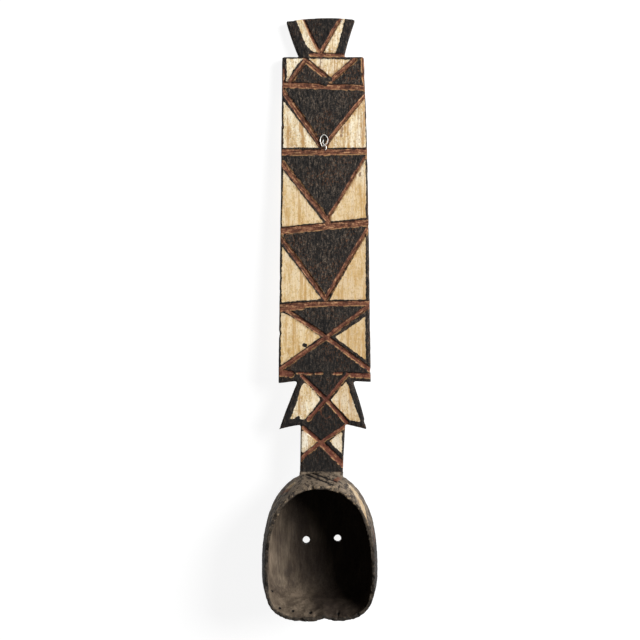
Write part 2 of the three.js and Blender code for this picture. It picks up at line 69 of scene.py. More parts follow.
# Levels and sizes of the mask, in metres.
PLANK_THICKNESS = 0.021
RIM_HEIGHT = 0.065
HOLLOW_FLOOR_Z = -0.053
HOLLOW_CENTRE = (0.003, 0.045, 0.02)
HEAD_TOP_Y = 0.201
HEAD_CUT_Y = 0.2035
NECK_TOP_Y = 0.292
PLANK_FOOT_Y = 0.397
PLANK_TOP_Y = 1.103
CREST_TOP_Y = 1.188
PLANK_HALF_FOOT = 0.101
PLANK_HALF_TOP = 0.0895
PLANK_MIDDLE_FOOT = 0.0108
PLANK_MIDDLE_TOP = 0.0073
EYES = [(-0.03, 0.0425), (0.04, 0.047)]
MOUTH = (0.005, -0.042)

# How finely the carving is meshed, and how much of the board counts as its flat.
GRAIN_OF_MESH = 0.00215
FACE_SKIN = 0.004
EDGE_MARGIN = 0.004
WELD_GAP = 1e-6
SMOOTH_ANGLE = math.radians(50)

# Farther than any mark reaches, in metres, and a length that counts as none.
FAR = 0.1
TINY = 1e-9

# How far apart the bands' strokes lie in their noise, in half widths.
BAND_SPACING = 40


def board_point(column, row):
    """The point of the plank's back that the photograph shows at a pixel."""
    return ((column - HEAD_MIDDLE_COLUMN) * PIXEL, (HEAD_WIDEST_ROW - row) * PIXEL)


# Carved bands of the back: half a width and a course, in pixels of the photograph. Each course
# runs so that its paler edge, a painted highlight, is under it where it runs left, and its darker edge, a
# painted shadow, over it.
RED_BANDS = {
    "top zigzag, left": (2.1, [(305.3, 60), (290.5, 80.5)]),
    "top zigzag, right": (2.4, [(331, 80.6), (305.3, 60)]),
    "top zigzag, end": (2.2, [(354.5, 59.5), (331, 80.6)]),
    "first band": (2.7, [(366, 87.7), (324, 86.4), (281.5, 84.7)]),
    "first V, left": (2.5, [(283.5, 92), (303.5, 120), (320.5, 145), (324.5, 149)]),
    "first V, right": (1.8, [(365, 95), (346, 118), (329, 139.5), (324.5, 149)]),
    "second band": (2.9, [(368.8, 151.2), (318, 152.3), (280.5, 152)]),
    "second V, left": (2.6, [(282.5, 163.5), (305.5, 192.8), (328.4, 221)]),
    "second V, right": (1.7, [(365, 157), (347, 187), (329.6, 215), (326, 224)]),
    "third band": (3.2, [(369, 222.3), (326, 226.4), (280, 231.2)]),
    "third V, left": (2.2, [(281.5, 239), (303, 268), (325.2, 299)]),
    "third V, right": (2.1, [(367.4, 229), (346, 264), (325.4, 299)]),
    "fourth band, left": (3.7, [(302, 305.5), (279.5, 308)]),
    "fourth band": (2.4, [(370.3, 303), (326.5, 303.8), (300, 305)]),
    "cross, down": (2.0, [(370, 369.8), (326.5, 337), (287.5, 310.6)]),
    "cross, up": (2.1, [(368.6, 306), (326.5, 337), (279, 370)]),
    "foot band, left": (3.2, [(291, 374), (278.5, 372.5)]),
    "foot band, right": (2.3, [(371.5, 375.8), (352, 375)]),
    "foot dash, first": (0.9, [(303.6, 373), (297.4, 373)]),
    "foot dash, second": (1.2, [(312.4, 373.8), (306.2, 373.6)]),
    "foot dash, third": (0.9, [(321.9, 372.9), (315.8, 373.4)]),
    "foot dash, fourth": (1.1, [(342, 373.3), (334, 373.6)]),
    "foot dash, fifth": (0.8, [(351.6, 373.6), (346.4, 372.8)]),
    "crest line, left": (1.3, [(319.6, 52), (311, 36), (303.3, 18)]),
    "crest line, right": (1.9, [(340.8, 18), (334, 29), (325.7, 43.9), (320.5, 53)]),
    "crest foot": (1.8, [(344.5, 55.4), (311, 54.6)]),
    "collar, down": (1.8, [(346.6, 422.2), (326.5, 399.5), (302.1, 376.2)]),
    "collar, up": (1.8, [(347.6, 374.3), (326.5, 399.5), (308.4, 419.3)]),
    "neck, up": (1.8, [(347, 425), (320.8, 442.3), (305, 454.8), (299, 461)]),
    "neck, down": (1.8, [(320.8, 442.3), (303.5, 427.4)]),
    "neck, down and wide": (2.8, [(342.8, 464.2), (321.5, 443)]),
    "right edge": (1.6, [(364.8, 90), (362.8, 58)]),
    "left edge": (1.5, [(283, 88), (283.6, 70)]),
}

# Chalk-white patches of the back, as corners in pixels of the photograph.
WHITE_PATCHES = {
    "crest, left": [
        (295.1, 17), (302.4, 17), (311.4, 39), (318.8, 52.4), (315, 53), (307.5, 47), (303.6, 40),
        (299.6, 30)],
    "crest, right": [(342.2, 16), (345.4, 16), (341, 35), (335.4, 54), (323.6, 54), (326, 47), (335.5, 30)],
    "top row, left": [(286.6, 58.6), (303, 58.6), (293.5, 70), (288.6, 79.6), (286.9, 76)],
    "top row, left foot": [(286.5, 78), (290, 77), (291.5, 81.3), (286.5, 81.6)],
    "top row, middle": [(308.2, 58.4), (350.5, 59.6), (331.6, 78.3), (324, 74)],
    "first row, left": [(283.6, 101), (319, 147.6), (283.2, 147.8)],
    "first row, right": [(364.8, 98.5), (365.6, 147.6), (328.5, 147.9), (330, 142)],
    "second row, left": [(283.4, 170.4), (323.4, 222.4), (281.8, 226.6)],
    "second row, right": [(365.6, 158.5), (366, 217.8), (329.4, 221.6), (331, 217)],
    "third row, left": [(282.2, 246.5), (321.5, 299), (281.4, 302.4)],
    "third row, right": [(365.6, 236), (366, 299.6), (330.2, 299.8), (332, 295)],
    "cross row, left": [(281, 313), (287, 314), (321, 337), (280.8, 365.6)],
    "cross row, right": [(365.2, 317), (335, 337.2), (365.6, 360)],
    "collar, left": [
        (304, 381.4), (312, 388.6), (320.6, 398.8), (313.2, 409.8), (304.6, 418.9), (290.8, 418.6),
        (296.5, 403), (301.6, 386)],
    "collar, right": [
        (346, 381.6), (330.6, 399.8), (350, 420.2), (360.6, 421.9), (356.6, 410.7), (351.8, 398.3),
        (349, 387)],
    "neck, left": [
        (301.8, 431), (306, 430.6), (317.6, 441), (310.4, 450), (305, 452.4), (301.6, 452.4), (300.9, 441)],
    "neck, right": [(340.6, 431.8), (342.2, 432.4), (342, 453.6), (329.2, 441.4)],
}
BLACK_BLOTS = {
    "blot on the top band": (2.6, [(322, 79.2), (329.4, 79.6)]),
    "blot under it": (1.5, [(320, 82), (326, 84.6)]),
    "blot on the collar": (1.7, [(297, 418.2), (298.6, 417.6)]),
    "ring round the peg hole": (2.3, [(304.3, 345), (304.8, 345.2)]),
}
BROWN_STAINS = {
    "streak in the top row": (1.1, [(320.8, 57.5), (320, 66), (319, 72)]),
    "streak in the first row": (0.9, [(342.6, 128), (341.4, 136)]),
    "knot": (1.7, [(360.2, 173.2), (359.6, 175.4)]),
    "scratch on the collar": (0.5, [(320, 409), (321.5, 415), (326, 419), (330, 416.5)]),
    "scratch beside it": (0.5, [(333, 409.5), (338, 411), (339.5, 416), (335.5, 419)]),
}

# Marks of the head, in pixels of the photograph.
CREAM_MARKS = {
    "temple": [
        (346, 480.8), (350.6, 483.6), (356.4, 490), (361, 498), (364.4, 507), (366.8, 516), (368.2, 525),
        (366.8, 525), (363.4, 512), (358.4, 501), (352.6, 491.8), (347, 483.8)],
    "far temple": [(289, 483.5), (295, 481), (296, 483.6), (290.4, 487.6), (285.4, 492.6), (282.4, 496)],
}
RUST_MARKS = {
    "brow": (2.2, [(335, 480.6), (340.4, 477.6)]),
    "right side": (1.5, [(373.4, 524), (375.2, 534), (375.8, 541)]),
    "left temple": (1.4, [(281, 493), (288, 490)]),
}
BROW_SCORES = {
    "upper": (0.6, [(309, 471.4), (322, 476), (336.5, 481.4)]),
    "lower": (0.6, [(306, 474), (318, 478.6), (333, 484.6)]),
    "chin crack": (0.6, [(338.4, 611), (337.6, 619)]),
}
LACING_HOLES = [
    (311.4, 482.8), (339.3, 485.4), (363.1, 505.9), (287.1, 491.6), (269.3, 524.8), (268, 549),
    (268.7, 573.8), (272.2, 590.9), (280, 607.9), (293, 610.9), (310.5, 612.6), (338.3, 613.4),
    (358.1, 614.3), (365.4, 605.8), (370.6, 573.6), (370, 540)]
LACING_RADIUS = 1.3

# How far under the rim the holes and the marks of the head reach, in metres. In a hole's mark a
# height counts for only a share of its size, so the mark is taller than wide.
HOLE_DROP = 0.014
HOLE_FOOT_INSIDE = -0.01
HOLE_INSIDE_SHARE = 0.3
HOLE_SQUEEZE = 0.35
MARK_DROP = 0.032
MARK_WANDER = 0.006

# The far side of the board, more plainly: straight bands at shares of the plank's height.
FRONT_BAND_SHARES = (0.9085, 0.7075, 0.477, 0.234, 0.023)
FRONT_BAND_WIDTH = 0.005
FRONT_LINE_WIDTH = 0.0042
PAST_EDGE = 1.1
CREST_MIDDLE_X = 0.003
CREST_LINE_ASIDE = 0.045
CREST_LINE_RISE = 0.008
CREST_WHITE_FOOT = 0.03
CREST_WHITE_TOP = 0.06
COLLAR_MIDDLE_X = 0.0097
COLLAR_LINE_TOP = 0.042
COLLAR_LINE_FOOT = 0.054
COLLAR_LINE_RISE = 0.01
COLLAR_WHITE_FOOT = 0.072
COLLAR_WHITE_RISE = 0.012

# Painted rings of the eyes and the mouth, as radii and half widths.
RED_RING_RADIUS = 0.0215
WHITE_RING_RADIUS = 0.0285
EYE_RING_HALF = 0.0035
MOUTH_SLOPE = 1.6
MOUTH_BAND_RADIUS = 0.04
MOUTH_BAND_HALF = 0.005

# Upward shares of the normals that part flat wood from steep and seen from unseen, and how far
# they face the middle of the hollow.
FLAT_NORMAL = 0.3
STEEP_NORMAL = 0.25
SCORE_NORMAL = 0.1
HOLE_NORMAL = -0.1
SEEN_NORMAL = -0.25
FACING_RAMP = (-0.05, 0.2)
RIM_TOP_RAMP = (0.3, 0.8)
WORN_NORMAL_RAMP = (-0.2, 0.35)

# Noise on the carving: waves to the metre along X, Y and Z, seed and octaves. FRACTAL is how
# fast the octaves weaken and how far apart they are.
NOISES = {
    "soft": ((60, 60, 60), 1, 2),
    "fine": ((230, 110, 230), 2, 3),
    "broad": ((13, 8, 13), 3, 2),
    "adze": ((60, 16, 60), 4, 2),
    "knocks": ((42, 42, 55), 5, 2),
}
SEED_SHIFT = (7.13, 3.71, 5.37)
FRACTAL = (1.0, 2.0)

# Heights and depths of the relief, in metres, and the ramps that they fade over.
BROAD_WAVE = 0.0006
SOFT_WAVE = 0.0003
GROOVE_DEPTH = 0.0019
GROOVE_RAMP = (-0.0012, 0.0014)
GROOVE_WANDER = 0.0008
GROOVE_EVEN_SHARE = 0.85
GROOVE_ROUGH_SHARE = 0.3
LIP_RAMP = (-0.0042, -0.0018)
LIP_HEIGHT = 0.0005
CRUST_RAMP = (0.0004, -0.0014)
CRUST_HEIGHT = 0.0004
CRUST_LUMPS = 0.0009
ROUNDING_WIDTH = 0.005
ROUNDING_DEPTH = 0.0005
KNOCK_RAMP = (0.1, 0.5)
KNOCK_DEPTH = 0.0016
HOLLOW_ADZE = 0.0015
HOLLOW_GRAIN = 0.0004
OUTER_ADZE = 0.0008
OUTER_GRAIN = 0.0006
SCORE_RAMP = (-0.0018, 0.0008)
SCORE_DEPTH = 0.0024
HOLE_RAMP = (-0.0012, 0.001)
HOLE_DEPTH = 0.002
RIM_RAMP = (RIM_HEIGHT - 0.014, RIM_HEIGHT - 0.002)
RIM_CHIP_RAMP = (0.15, 0.6)
RIM_CHIP_DEPTH = 0.004
RIM_WAVE = 0.001

# Where the hollow, the face, the painted shade with its smoky patina and the wear begin and end,
# in metres. That painted shade darkens the hollow to the right and up: its ramp runs along X and leans with
# Y.
HOLLOW_FADE = 0.012
HOLLOW_FLOOR_RAMP = (HOLLOW_FLOOR_Z - 0.007, HOLLOW_FLOOR_Z - 0.002)
FACE_TOP_Z = -0.03
EDGE_OVERLAP = 0.01
SHADE_AND_SMOKE_RAMP = (-0.1, -0.005)
SHADE_AND_SMOKE_LEAN = 0.4
CROWN_RAMP = (0.1, 0.17)
CROWN_SHARE = 0.75
CHIPS_RAMP = (0.06, 0.14)
CHIPS_LEAST = 0.12
WORN_LEVEL_RAMP = (0.03, 0.13)

# Colours of each paint and material, with the place in its noise at which each one shows.
RAMPS = {
    "soot": [(0.41, (5, 5, 6)), (0.48, (26, 24, 23)), (0.54, (56, 50, 45)), (0.62, (112, 98, 84))],
    "chalk": [
        (0.4, (250, 240, 218)), (0.49, (244, 227, 192)), (0.55, (222, 194, 146)),
        (0.63, (176, 134, 82))],
    "earth": [(0.38, (44, 28, 21)), (0.46, (98, 60, 44)), (0.53, (131, 84, 61)), (0.62, (200, 156, 114))],
    "wood": [(0.38, (64, 54, 45)), (0.46, (83, 71, 59)), (0.53, (98, 86, 72)), (0.62, (122, 107, 91))],
    "steel": [(0.35, (196, 194, 188)), (0.65, (246, 245, 240))],
    "iron": [(0.35, (30, 24, 22)), (0.62, (74, 48, 36))],
}

# Noise in the materials: how it is stretched along the grain, waves to the metre, detail and roughness.
TEXTURES = {
    "streaks": (0.3, 300, 4, 0.7),
    "mottle": (1, 420, 4, 0.75),
    "wobble": (1, 150, 3, 0.55),
    "drift": (1, 38, 2, 0.55),
    "chalk streaks": (0.14, 120, 4, 0.65),
    "chalk clouds": (1, 24, 3, 0.55),
    "earth mottle": (1, 150, 4, 0.7),
    "wood fibre": (0.1, 260, 5, 0.65),
    "wood clouds": (0.4, 34, 4, 0.55),
    "tarnish": (1, 900, 3, 0.55),
    "iron rust": (1, 1100, 4, 0.55),
}
STROKES = (330, 4, 0.65)
STROKE_STRETCH = 0.12

# Speckles: the same four values, then the noise at which they begin and at which they are full.
SPECKLES = {
    "brown flecks": (0.5, 330, 4, 0.7, 0.54, 0.62),
    "rubbed places": (1, 16, 2, 0.55, 0.44, 0.6),
    "flaked chalk": (0.6, 260, 4, 0.7, 0.52, 0.62),
    "fresh chalk": (0.7, 210, 4, 0.7, 0.52, 0.6),
    "drips": (0.07, 120, 4, 0.65, 0.51, 0.64),
    "scuffs": (1, 62, 3, 0.6, 0.52, 0.62),
    "breaks": (1, 85, 3, 0.55, 0.42, 0.56),
    "worn wood": (0.5, 110, 4, 0.6, 0.4, 0.52),
    "chips": (1, 170, 3, 0.6, 0.54, 0.63),
}

# Coats: how far each covers what is under it, from 0 to 1, and its colour.
COATS = {
    "brown flecks": (0.75, (104, 68, 44)),
    "low soot": (0.6, (15, 14, 14)),
    "crest soot": (0.4, (15, 14, 14)),
    "flaked chalk": (0.7, (168, 138, 92)),
    "fresh chalk": (0.6, (250, 243, 226)),
    "drips": (0.75, (182, 134, 74)),
    "yellow chalk": (0.42, (216, 176, 108)),
    "shaded chalk": (0.35, (188, 150, 98)),
    "scuffs": (0.5, (52, 32, 25)),
    "low earth": (0.5, (98, 46, 38)),
    "bleed": (0.55, (150, 106, 62)),
    # Painted shadow along the upper edge of the bands and painted highlight along their lower edge.
    "painted shadow edge": (0.85, (34, 23, 19)),
    "painted highlight edge": (0.8, (178, 136, 92)),
    "rust": (0.7, (108, 64, 44)),
    # Painted shade in the hollow, over a smoky patina.
    "painted shade and smoke": (0.8, (26, 17, 12)),
    "rim chips": (0.6, (178, 154, 124)),
    "edge wear": (0.5, (128, 92, 62)),
    # Painted shade in the lacing holes and the scored cracks.
    "painted hole and crack shade": (1.0, (12, 9, 8)),
}
CREAM_SHARE = 0.7
CREAM_DIRT_SHARE = 0.6
CREAM_DIRT = (158, 134, 104)
WORN_SHARE = 0.95
WORN_PALE_SHARE = 0.4
WORN_PALE = (146, 130, 110)
WORN_DARK = (52, 45, 40)
RIM_SHARE = 0.8
RIM_WEAR_RAMP = (0.3, 0.6)
RIM_WOOD_SHARE = 0.25
RIM_DARK = (40, 35, 30)

# Depth in its marks over which each coat sets in, and how far its ragged edges wander, in metres.
# The rust's edges are that many times as ragged.
WHITE_EDGE = (-0.0003, 0.0005)
RED_EDGE = (-0.0004, 0.0005)
BLEED_EDGE = (-0.008, -0.0005)
# The ring is the strip along a band's edges that holds its painted shadow, above, and its painted
# highlight, below.
RING_OUTSIDE = (-0.0022, -0.0006)
RING_INSIDE = (0.0016, 0.0002)
RING_SIDE = 0.001
CREAM_EDGE = (-0.0004, 0.0012)
RUST_EDGE = (-0.001, 0.0016)
HOLE_EDGE = (-0.0009, 0.0004)
WOBBLE_WIDTH = 0.0045
DRIFT_WIDTH = 0.004
RUST_RAGGED = 1.6

# Levels up the mask over which the paint changes, in metres from the middle of its length, and
# the places across it over which it shades to the right.
LOW_SOOT_RAMP = (0.12, -0.28)
CREST_SOOT_RAMP = (0.54, 0.575)
YELLOW_TOP_RAMP = (0.36, 0.26)
YELLOW_FOOT_RAMP = (-0.22, -0.12)
SHADED_RAMP = (0.45, -0.05)
SHADED_RIGHT_RAMP = (-0.01, 0.07)
LOW_EARTH_RAMP = (0.1, -0.2)

# The pale floor, the broad light from the upper right and the faint sky, in metres and watts.
WHITE = (1, 1, 1)
FLOOR_SIZE = 24
FLOOR_DROP = 0.0005
FLOOR_SHADE = 0.2
FLOOR_ROUGHNESS = 0.9
FLOOR_GLOW = 0.9
KEY_PLACE = (3.85, 1.4, 2.95)
KEY_SIZE = 3.2
KEY_POWER = 450
SKY_STRENGTH = 0.05


def deselect_all():
    for item in bpy.context.selected_objects:
        item.select_set(False)


def activate(item):
    deselect_all()
    item.select_set(True)
    bpy.context.view_layer.objects.active = item


def photo_camera():
    """The camera is square to the plank's back, over the middle of the photograph."""
    data = bpy.data.cameras.new("photo camera")
    data.sensor_width = SENSOR_WIDTH * MILLIMETRES
    data.lens = MILLIMETRES * SENSOR_WIDTH * CAMERA_DISTANCE * PIXELS_PER_METRE / PHOTO_SIZE
    data.clip_end = SIGHT
    camera = bpy.data.objects.new("photo camera", data)
    bpy.context.scene.collection.objects.link(camera)
    middle = board_point(PHOTO_SIZE / 2, PHOTO_SIZE / 2)
    camera.matrix_world = CARVING @ Matrix.Translation(Vector((*middle, CAMERA_DISTANCE)))
    bpy.context.scene.camera = camera


photo_camera()


# Measuring painted shapes, in the units of their points. A depth is positive inside the shape.
def segment_places(across, along, start, end):
    """Distance to a segment, signed side of it (positive under one that runs left) and place along it."""
    run_x, run_y = end[0] - start[0], end[1] - start[1]
    length = math.hypot(run_x, run_y)
    from_x, from_y = across - start[0], along - start[1]
    reach = (from_x * run_x + from_y * run_y) / length
    held = np.clip(reach, 0, length)
    distance = np.hypot(from_x - held * run_x / length, from_y - held * run_y / length)
    side = (from_x * run_y - from_y * run_x) / length
    return distance, side, reach


def patch_depth(across, along, patches):
    deepest = np.full(across.shape, -FAR / PIXEL)
    for points in patches.values():
        inside = np.zeros(across.shape, bool)
        nearest = np.full(across.shape, np.inf)
        for start, end in zip(points, points[1:] + points[:1]):
            crosses = (start[1] > along) != (end[1] > along)
            height = end[1] - start[1] or TINY
            inside ^= crosses & (across < start[0] + (along - start[1]) * (end[0] - start[0]) / height)
            nearest = np.minimum(nearest, segment_places(across, along, start, end)[0])
        deepest = np.maximum(deepest, np.where(inside, nearest, -nearest))
    return deepest


def band_places(across, along, bands):
    """Depth in the nearest band, signed place across it and place along it."""
    deepest = np.full(across.shape, -FAR / PIXEL)
    sides = np.zeros(across.shape)
    reaches = np.zeros(across.shape)
    for number, (half_width, points) in enumerate(bands.values()):
        for start, end in zip(points, points[1:]):
            distance, side, reach = segment_places(across, along, start, end)
            closer = half_width - distance > deepest
            deepest = np.where(closer, half_width - distance, deepest)
            sides = np.where(closer, side, sides)
            reaches = np.where(closer, reach + number * BAND_SPACING * half_width, reaches)
    return deepest, sides, reaches


def line_depth(across, along, lines):
    return band_places(across, along, lines)[0]


def smooth_step(low, high, value):
    share = np.clip((value - low) / (high - low), 0, 1)
    return share * share * (3 - 2 * share)


def noise_field(points, waves, seed, octaves):
    """Fractal noise about zero at each point, with so many waves to the metre along each axis."""
    shift = Vector([seed * part for part in SEED_SHIFT])
    places = points * np.array(waves)
    return np.array([noise.fractal(Vector(place) + shift, *FRACTAL, octaves) for place in places])


def plank_corner(side, y):
    """A point of the plank's edge on the far side, or past it where the side is over 1."""
    share = (y - PLANK_FOOT_Y) / (PLANK_TOP_Y - PLANK_FOOT_Y)
    half_width = PLANK_HALF_FOOT + (PLANK_HALF_TOP - PLANK_HALF_FOOT) * share
    middle = PLANK_MIDDLE_FOOT + (PLANK_MIDDLE_TOP - PLANK_MIDDLE_FOOT) * share
    return (middle + side * half_width, y)


def front_pattern():
    levels = [PLANK_FOOT_Y + share * (PLANK_TOP_Y - PLANK_FOOT_Y) for share in FRONT_BAND_SHARES]
    bands = {
        f"band {y:.3f}": (FRONT_BAND_WIDTH, [plank_corner(PAST_EDGE, y), plank_corner(-PAST_EDGE, y)])
        for y in levels}
    patches = {}
    for top, foot in zip(levels[:3], levels[1:4]):
        for side in (-1, 1):
            name = f"row {top:.3f} {side}"
            bands[name] = (FRONT_LINE_WIDTH, [plank_corner(side, top), plank_corner(0, foot)])
            patches[name] = [plank_corner(side, top), plank_corner(0, foot), plank_corner(side, foot)]
    top, foot = levels[3:]
    centre = plank_corner(0, (top + foot) / 2)
    collar_centre = (COLLAR_MIDDLE_X, (NECK_TOP_Y + PLANK_FOOT_Y) / 2)
    for side in (-1, 1):
        bands[f"cross {side}"] = (
            FRONT_LINE_WIDTH, [plank_corner(-side, top), centre, plank_corner(side, foot)])
        patches[f"cross {side}"] = [plank_corner(side, top), centre, plank_corner(side, foot)]
        tip = (CREST_MIDDLE_X + side * CREST_LINE_ASIDE, CREST_TOP_Y)
        root = (CREST_MIDDLE_X, PLANK_TOP_Y + CREST_LINE_RISE)
        bands[f"crest {side}"] = (FRONT_LINE_WIDTH, [tip, root])
        patches[f"crest {side}"] = [
            tip, root, (CREST_MIDDLE_X + side * CREST_WHITE_FOOT, PLANK_TOP_Y),
            (CREST_MIDDLE_X + side * CREST_WHITE_TOP, CREST_TOP_Y)]
        arms = [
            (COLLAR_MIDDLE_X + side * COLLAR_LINE_TOP, PLANK_FOOT_Y), collar_centre,
            (COLLAR_MIDDLE_X + side * COLLAR_LINE_FOOT, NECK_TOP_Y + COLLAR_LINE_RISE)]
        bands[f"collar {side}"] = (FRONT_LINE_WIDTH, arms)
        patches[f"collar {side}"] = arms + [
            (COLLAR_MIDDLE_X + side * COLLAR_WHITE_FOOT, NECK_TOP_Y + COLLAR_WHITE_RISE)]
    return bands, patches


# The carved wood: the solid's form, meshed evenly, then cut, scored and worn.
def carved_copy():
    node = frame["nodes"]["mask"]
    carved = bpy.data.objects.new("carved_head", node.data.copy())
    bpy.context.scene.collection.objects.link(carved)
    activate(carved)
    bpy.ops.object.mode_set(mode="EDIT")
    bpy.ops.mesh.select_all(action="SELECT")
    bpy.ops.mesh.remove_doubles(threshold=WELD_GAP)
    bpy.ops.object.mode_set(mode="OBJECT")
    carved.data.transform(INTO_CARVING)
    remesh = carved.modifiers.new("even mesh", "REMESH")
    remesh.mode = "VOXEL"
    remesh.voxel_size = GRAIN_OF_MESH
    bpy.ops.object.modifier_apply(modifier=remesh.name)
    return carved


def read_vectors(items, name):
    values = np.empty(len(items) * 3)
    items.foreach_get(name, values)
    return values.reshape(-1, 3)


def set_field(mesh, name, values):
    field = mesh.attributes.new(name, "FLOAT", "POINT")
    field.data.foreach_set("value", values.astype(np.float32))


def photo_pixels(points):
    """The pixel of the photograph at which each point shows."""
    nearing = CAMERA_DISTANCE / (CAMERA_DISTANCE - points[:, 2])
    half = PHOTO_SIZE / 2
    middle_x, middle_y = board_point(half, half)
    columns = half + (points[:, 0] - middle_x) * nearing * PIXELS_PER_METRE
    rows = half - (points[:, 1] - middle_y) * nearing * PIXELS_PER_METRE
    return columns, rows


def edge_distance(points, normals):
    """How far each point is from the sides of the board."""
    sides = np.flatnonzero((np.abs(normals[:, 2]) < FLAT_NORMAL) & (points[:, 1] > HEAD_TOP_Y))
    tree = kdtree.KDTree(len(sides))
    for index in sides:
        tree.insert((points[index, 0], points[index, 1], 0), int(index))
    tree.balance()
    on_board = points[:, 1] > HEAD_TOP_Y - EDGE_OVERLAP
    distances = np.full(len(points), FAR)
    for index in np.flatnonzero(on_board):
        distances[index] = tree.find((points[index, 0], points[index, 1], 0))[2]
    return distances


def hollow_share(points, normals):
    """How far a point belongs to the raw wood inside the hollow, from 0 to 1."""
    inward = np.array(HOLLOW_CENTRE) - points
    facing = (inward * normals).sum(axis=1) / np.linalg.norm(inward, axis=1)
    in_head = smooth_step(HEAD_TOP_Y, HEAD_TOP_Y - HOLLOW_FADE, points[:, 1])
    above_floor = smooth_step(*HOLLOW_FLOOR_RAMP, points[:, 2])
    return smooth_step(*FACING_RAMP, facing) * in_head * above_floor


def face_paint(points):
    """Depth in the red and the white rings round the eyes and the mouth of the far side."""
    x, y = points[:, 0], points[:, 1]
    red = np.full(len(points), -FAR)
    white = np.full(len(points), -FAR)
    for eye_x, eye_y in EYES:
        radius = np.hypot(x - eye_x, y - eye_y)
        red = np.maximum(red, EYE_RING_HALF - np.abs(radius - RED_RING_RADIUS))
        white = np.maximum(white, EYE_RING_HALF - np.abs(radius - WHITE_RING_RADIUS))
    lozenge = np.abs(x - MOUTH[0]) + MOUTH_SLOPE * np.abs(y - MOUTH[1])
    mouth = MOUTH_BAND_HALF - np.abs(lozenge - MOUTH_BAND_RADIUS)
    white = np.where(y < 0.0, np.maximum(white, mouth), white)
    return red, white


def paint_depths(points, columns, rows, sides):
    """Depth in the red bands and the white patches of each side, and the place in the nearest band."""
    x, y = points[:, 0], points[:, 1]
    back_red, back_side, back_reach = (PIXEL * part for part in band_places(columns, rows, RED_BANDS))
    blots = PIXEL * line_depth(columns, rows, BLACK_BLOTS)
    back_white = np.minimum(PIXEL * patch_depth(columns, rows, WHITE_PATCHES), -blots)
    back_red = np.minimum(back_red, -blots)
    front_bands, front_patches = front_pattern()
    front_red, front_side, front_reach = band_places(x, y, front_bands)
    front_white = patch_depth(x, y, front_patches)
    face_red, face_white = face_paint(points)
    return {
        "red_band": np.select(sides, [back_red, front_red, face_red], -FAR),
        "band_side": np.select(sides, [back_side, front_side, 0.0], 0.0),
        "band_reach": np.select(sides, [back_reach, front_reach, 0.0], 0.0),
        "white_paint": np.select(sides, [back_white, front_white, face_white], -FAR),
    }


def lacing_marks(columns, rows, z, on_rim):
    """Depth in the marks of the lacing holes, each as wide as it shows and taller; they are dented and hold
    painted shade.
    """
    holes = np.full(len(z), -FAR)
    for column, row in LACING_HOLES:
        aside = PIXEL * np.hypot(columns - column, rows - row)
        near = on_rim & (aside < PIXEL * LACING_RADIUS)
        if near.any():
            fall = HOLE_SQUEEZE * (z - np.median(z[near]))
            holes = np.maximum(holes, PIXEL * LACING_RADIUS - np.hypot(aside, fall))
    return np.where(on_rim, holes, -FAR)


def band_relief(red, white, rough):
    """Height of the grooves, their lips and the crust of the black on the flat of the board."""
    groove = smooth_step(*GROOVE_RAMP, red + GROOVE_WANDER * rough["soft"])
    lip = smooth_step(*LIP_RAMP, red) * (1 - groove)
    crust = smooth_step(*CRUST_RAMP, white) * (1 - groove)
    uneven = GROOVE_EVEN_SHARE + GROOVE_ROUGH_SHARE * rough["fine"]
    return (
        LIP_HEIGHT * lip - GROOVE_DEPTH * groove * uneven
        + crust * (CRUST_HEIGHT + CRUST_LUMPS * rough["fine"]))


